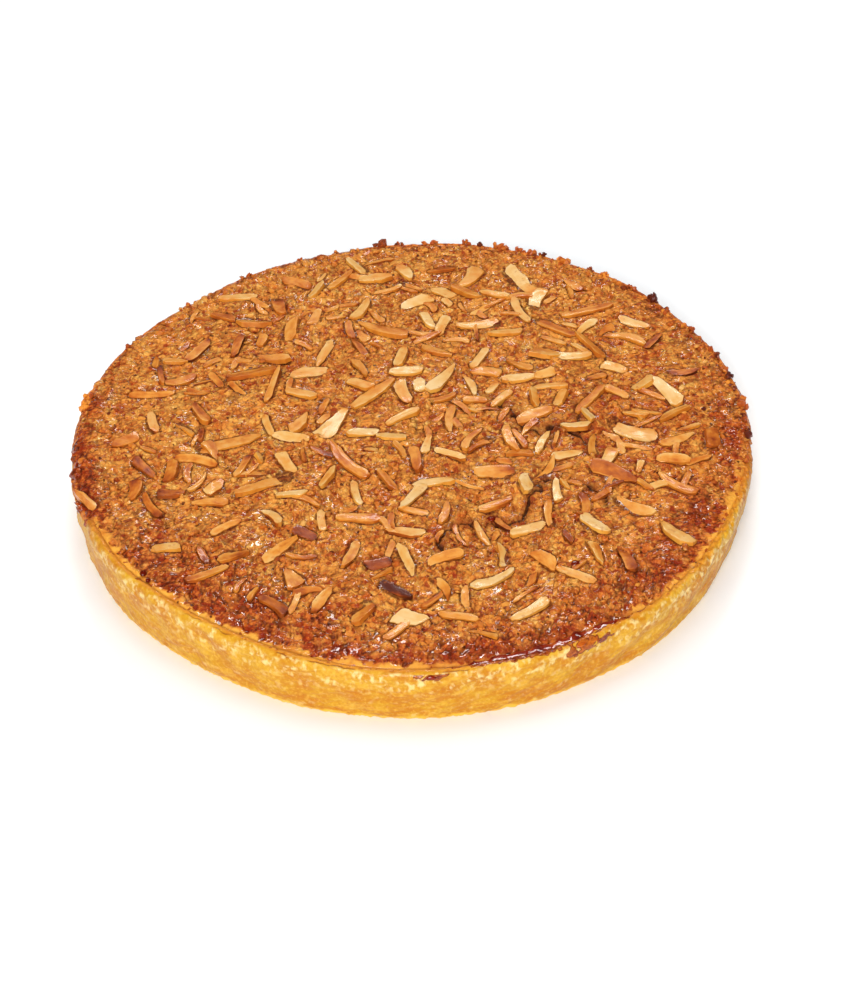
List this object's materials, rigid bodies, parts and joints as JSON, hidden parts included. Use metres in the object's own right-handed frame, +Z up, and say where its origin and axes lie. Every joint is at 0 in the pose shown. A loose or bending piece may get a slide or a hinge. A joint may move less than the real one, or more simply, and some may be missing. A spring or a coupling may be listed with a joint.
{
  "type": "almond tart",
  "caption": "Round uncut tart: a shallow golden pastry case filled to the rim with baked almond paste, its top strewn with slivered almonds.",
  "frame": {"origin": "middle of the tart's flat underside", "axes": "+Z up, +X to the right and -Y towards the viewer when the tart is seen as in the picture"},
  "size_m": [0.2404, 0.2407, 0.0271],
  "materials": {
    "pastry_case": "glazed golden shortcrust",
    "almond_filling": "baked granular almond paste under a thin glaze"
  },
  "bodies": {
    "root": {"pastry_case": "pastry_case", "almond_filling": "almond_filling"}
  },
  "joints": []
}
